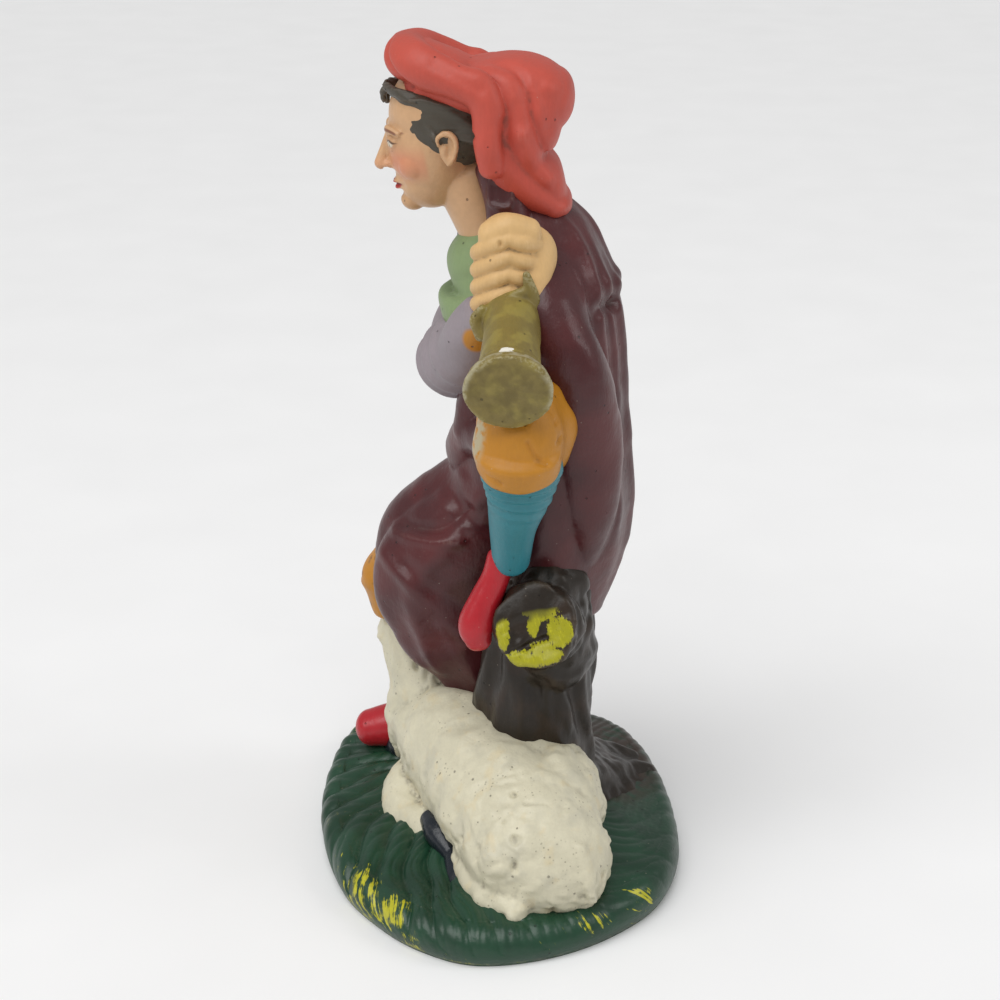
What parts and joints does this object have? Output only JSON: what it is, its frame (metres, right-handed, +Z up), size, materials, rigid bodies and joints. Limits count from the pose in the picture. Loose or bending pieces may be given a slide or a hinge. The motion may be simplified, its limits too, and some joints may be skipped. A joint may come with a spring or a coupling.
{
  "type": "nativity shepherd figure",
  "caption": "Painted cast plaster shepherd in a red cap and long cloak, leaning on a tree stump with a horn, a sheep at his feet; stands on its own grassy base.",
  "frame": {"origin": "middle of the base's flat underside", "axes": "+Z up; the shepherd looks along -Y; his left side, the horn and the sheep's rump are towards +X; the base is longest along X"},
  "size_m": [0.0832, 0.064, 0.1439],
  "materials": {
    "painted_plaster": "satin"
  },
  "bodies": {
    "root": {"shepherd_figure": "painted_plaster"}
  },
  "joints": []
}
